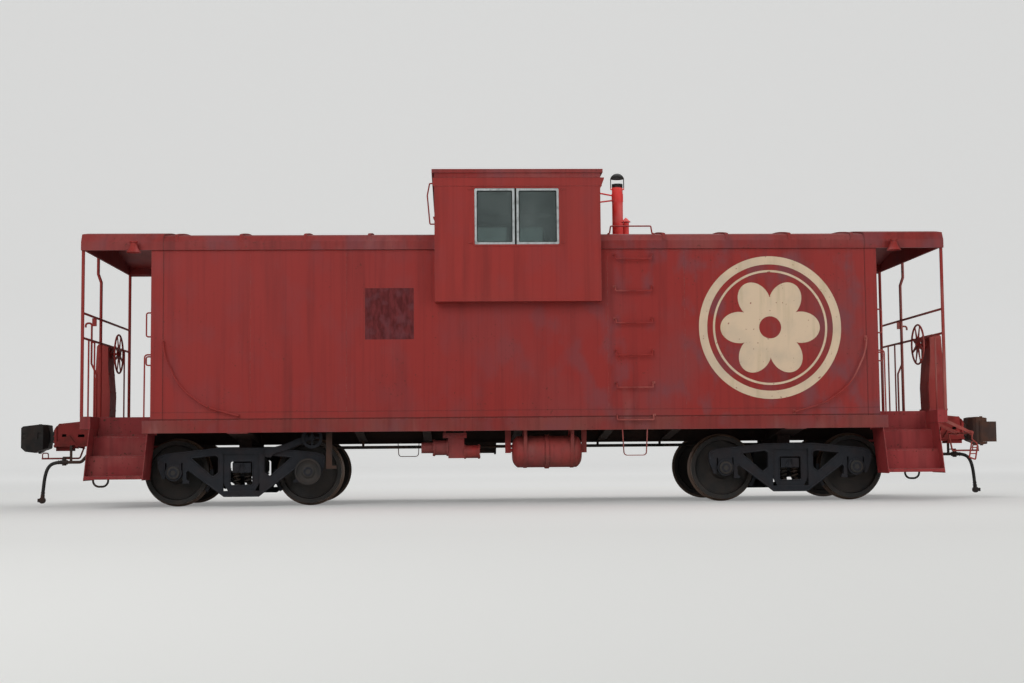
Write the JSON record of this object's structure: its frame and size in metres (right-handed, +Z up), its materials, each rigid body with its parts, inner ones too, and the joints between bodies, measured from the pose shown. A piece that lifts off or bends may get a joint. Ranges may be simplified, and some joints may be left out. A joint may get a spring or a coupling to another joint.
{
  "type": "railway caboose",
  "caption": "Railway caboose with a cupola, railed end platforms and steps, hinged doors, turning wheels, swivelling trucks and swinging couplers.",
  "frame": {"origin": "under the middle of the car, level with the bottoms of the wheel flanges", "axes": "+X along the car towards end B, +Y across the car away from the side seen in the picture, +Z up"},
  "size_m": [13.34, 3.272, 4.534],
  "materials": {
    "wheel_steel": "worn dark steel with rust",
    "truck_iron": "dusty dark paint over cast steel",
    "spring_steel": "dusty dark spring steel",
    "frame_paint": "dusty dark brown paint",
    "sill_paint": "dark red paint, faded and rusty",
    "floor_wood": "worn boards",
    "body_paint": "faded red paint",
    "roof_paint": "weathered red paint",
    "cupola_paint": "faded red paint",
    "window_board": "dark red painted plywood",
    "sash_metal": "dull bare metal",
    "pane_glass": "old clear glass",
    "jack_paint": "faded red paint with a sooty cap",
    "rail_paint": "worn red paint",
    "lamp_paint": "worn red paint",
    "step_paint": "dark red paint, dusty",
    "brake_paint": "worn red paint",
    "coupler_iron": "rusty cast steel",
    "air_iron": "dusty dark paint over cast iron",
    "hose_rubber": "aged black rubber"
  },
  "bodies": {
    "car_body": {"air_hose_a": "hose_rubber", "air_hose_b": "hose_rubber", "brake_cylinder": "air_iron", "brake_pipe": "air_iron", "brake_stands": "brake_paint", "control_valve": "air_iron", "cupola_ends": "cupola_paint", "cupola_panes": "pane_glass", "cupola_roof": "roof_paint", "cupola_sashes": "sash_metal", "cupola_sides": "cupola_paint", "eave_lamps": "lamp_paint", "end_panes": "pane_glass", "end_wall_a": "body_paint", "end_wall_b": "body_paint", "floor": "floor_wood", "gladhand_a": "air_iron", "gladhand_b": "air_iron", "grab_irons": "rail_paint", "hand_rails": "rail_paint", "hanging_loops": "frame_paint", "platform_a": "step_paint", "platform_b": "step_paint", "porch_roofs": "roof_paint", "railing_a": "rail_paint", "railing_b": "rail_paint", "reservoir": "air_iron", "roof": "roof_paint", "roof_vent": "jack_paint", "side_sills": "sill_paint", "side_wall_far": "body_paint", "side_wall_near": "body_paint", "smoke_jack": "jack_paint", "steps_a": "step_paint", "steps_b": "step_paint", "uncoupling_levers": "rail_paint", "underframe": "frame_paint", "window_boards": "window_board"},
    "door_a": {"door_a": "body_paint", "door_pane_a": "pane_glass"},
    "door_b": {"door_b": "body_paint", "door_pane_b": "pane_glass"},
    "brake_wheel_a": {"brake_wheel_a": "brake_paint"},
    "brake_wheel_b": {"brake_wheel_b": "brake_paint"},
    "coupler_a": {"coupler_a": "coupler_iron", "knuckle_a": "coupler_iron"},
    "coupler_b": {"coupler_b": "coupler_iron", "knuckle_b": "coupler_iron"},
    "truck_a": {"truck_frames_a": "truck_iron", "truck_bolster_a": "truck_iron", "truck_springs_a": "spring_steel", "truck_brakes_a": "truck_iron"},
    "wheelset_a1": {"wheelset_a1": "wheel_steel"},
    "wheelset_a2": {"wheelset_a2": "wheel_steel"},
    "truck_b": {"truck_frames_b": "truck_iron", "truck_bolster_b": "truck_iron", "truck_springs_b": "spring_steel", "truck_brakes_b": "truck_iron"},
    "wheelset_b1": {"wheelset_b1": "wheel_steel"},
    "wheelset_b2": {"wheelset_b2": "wheel_steel"}
  },
  "joints": [
    {"name": "door_a_hinge", "type": "hinge", "parent": "car_body", "child": "door_a", "pos_m": [-4.59, -0.377, 1.17], "axis": [0, 0, -1], "range_deg": [0, 105]},
    {"name": "brake_wheel_a_spin", "type": "hinge", "parent": "car_body", "child": "brake_wheel_a", "pos_m": [-5.495, 0.48, 2.085], "axis": [-1, 0, 0], "continuous": true},
    {"name": "truck_a_swivel", "type": "hinge", "parent": "car_body", "child": "truck_a", "pos_m": [-3.58, 0, 0.72], "axis": [0, 0, 1], "range_deg": [-4, 4]},
    {"name": "coupler_a_swing", "type": "hinge", "parent": "car_body", "child": "coupler_a", "pos_m": [-5.9, 0, 0.896], "axis": [0, 0, 1], "range_deg": [-6, 6]},
    {"name": "door_b_hinge", "type": "hinge", "parent": "car_body", "child": "door_b", "pos_m": [4.59, 0.377, 1.17], "axis": [0, 0, -1], "range_deg": [0, 105]},
    {"name": "brake_wheel_b_spin", "type": "hinge", "parent": "car_body", "child": "brake_wheel_b", "pos_m": [5.495, -0.48, 2.085], "axis": [1, 0, 0], "continuous": true},
    {"name": "truck_b_swivel", "type": "hinge", "parent": "car_body", "child": "truck_b", "pos_m": [3.58, 0, 0.72], "axis": [0, 0, 1], "range_deg": [-4, 4]},
    {"name": "coupler_b_swing", "type": "hinge", "parent": "car_body", "child": "coupler_b", "pos_m": [5.9, 0, 0.896], "axis": [0, 0, 1], "range_deg": [-6, 6]},
    {"name": "wheelset_a1_roll", "type": "hinge", "parent": "truck_a", "child": "wheelset_a1", "pos_m": [-4.4435, 0, 0.445], "axis": [0, 1, 0], "continuous": true},
    {"name": "wheelset_a2_roll", "type": "hinge", "parent": "truck_a", "child": "wheelset_a2", "pos_m": [-2.7165, 0, 0.445], "axis": [0, 1, 0], "continuous": true},
    {"name": "wheelset_b1_roll", "type": "hinge", "parent": "truck_b", "child": "wheelset_b1", "pos_m": [2.7165, 0, 0.445], "axis": [0, 1, 0], "continuous": true},
    {"name": "wheelset_b2_roll", "type": "hinge", "parent": "truck_b", "child": "wheelset_b2", "pos_m": [4.4435, 0, 0.445], "axis": [0, 1, 0], "continuous": true}
  ]
}
